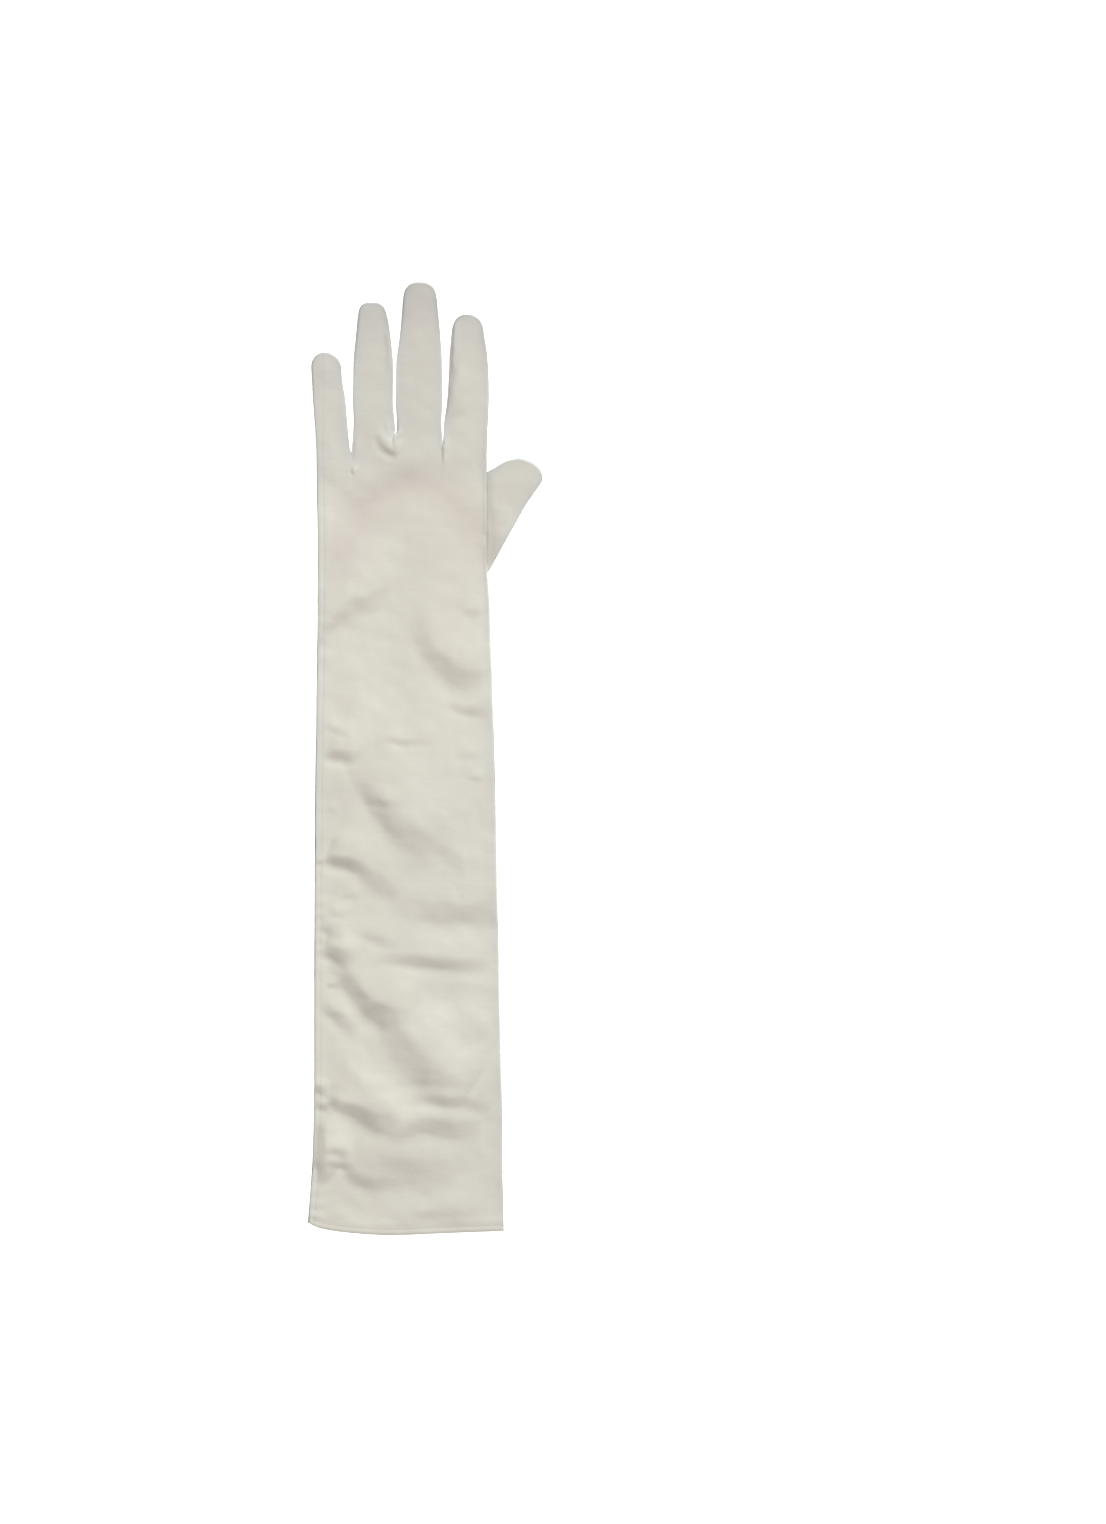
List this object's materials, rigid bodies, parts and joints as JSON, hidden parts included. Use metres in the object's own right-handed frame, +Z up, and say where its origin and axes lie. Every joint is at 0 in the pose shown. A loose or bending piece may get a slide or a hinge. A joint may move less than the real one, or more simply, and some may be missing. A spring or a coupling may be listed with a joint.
{
  "type": "long satin dress glove",
  "caption": "Elbow-length satin evening glove for the left hand, lying flat with its back up and its thumb tucked under the palm.",
  "frame": {"origin": "On the surface that the glove lies on, under the middle of its outline seen from above.", "axes": "+Y runs along the glove from the hem to the fingertips, +X points across it to the thumb's side and +Z points up out of the back of the hand."},
  "size_m": [0.1246, 0.5048, 0.0148],
  "materials": {
    "satin_body": "ivory satin",
    "satin_strips": "ivory satin",
    "satin_thumb": "ivory satin"
  },
  "bodies": {
    "root": {"glove_body": "satin_body", "fourchette_little_ring": "satin_strips", "fourchette_ring_middle": "satin_strips", "fourchette_middle_index": "satin_strips", "thumb": "satin_thumb"}
  },
  "joints": []
}
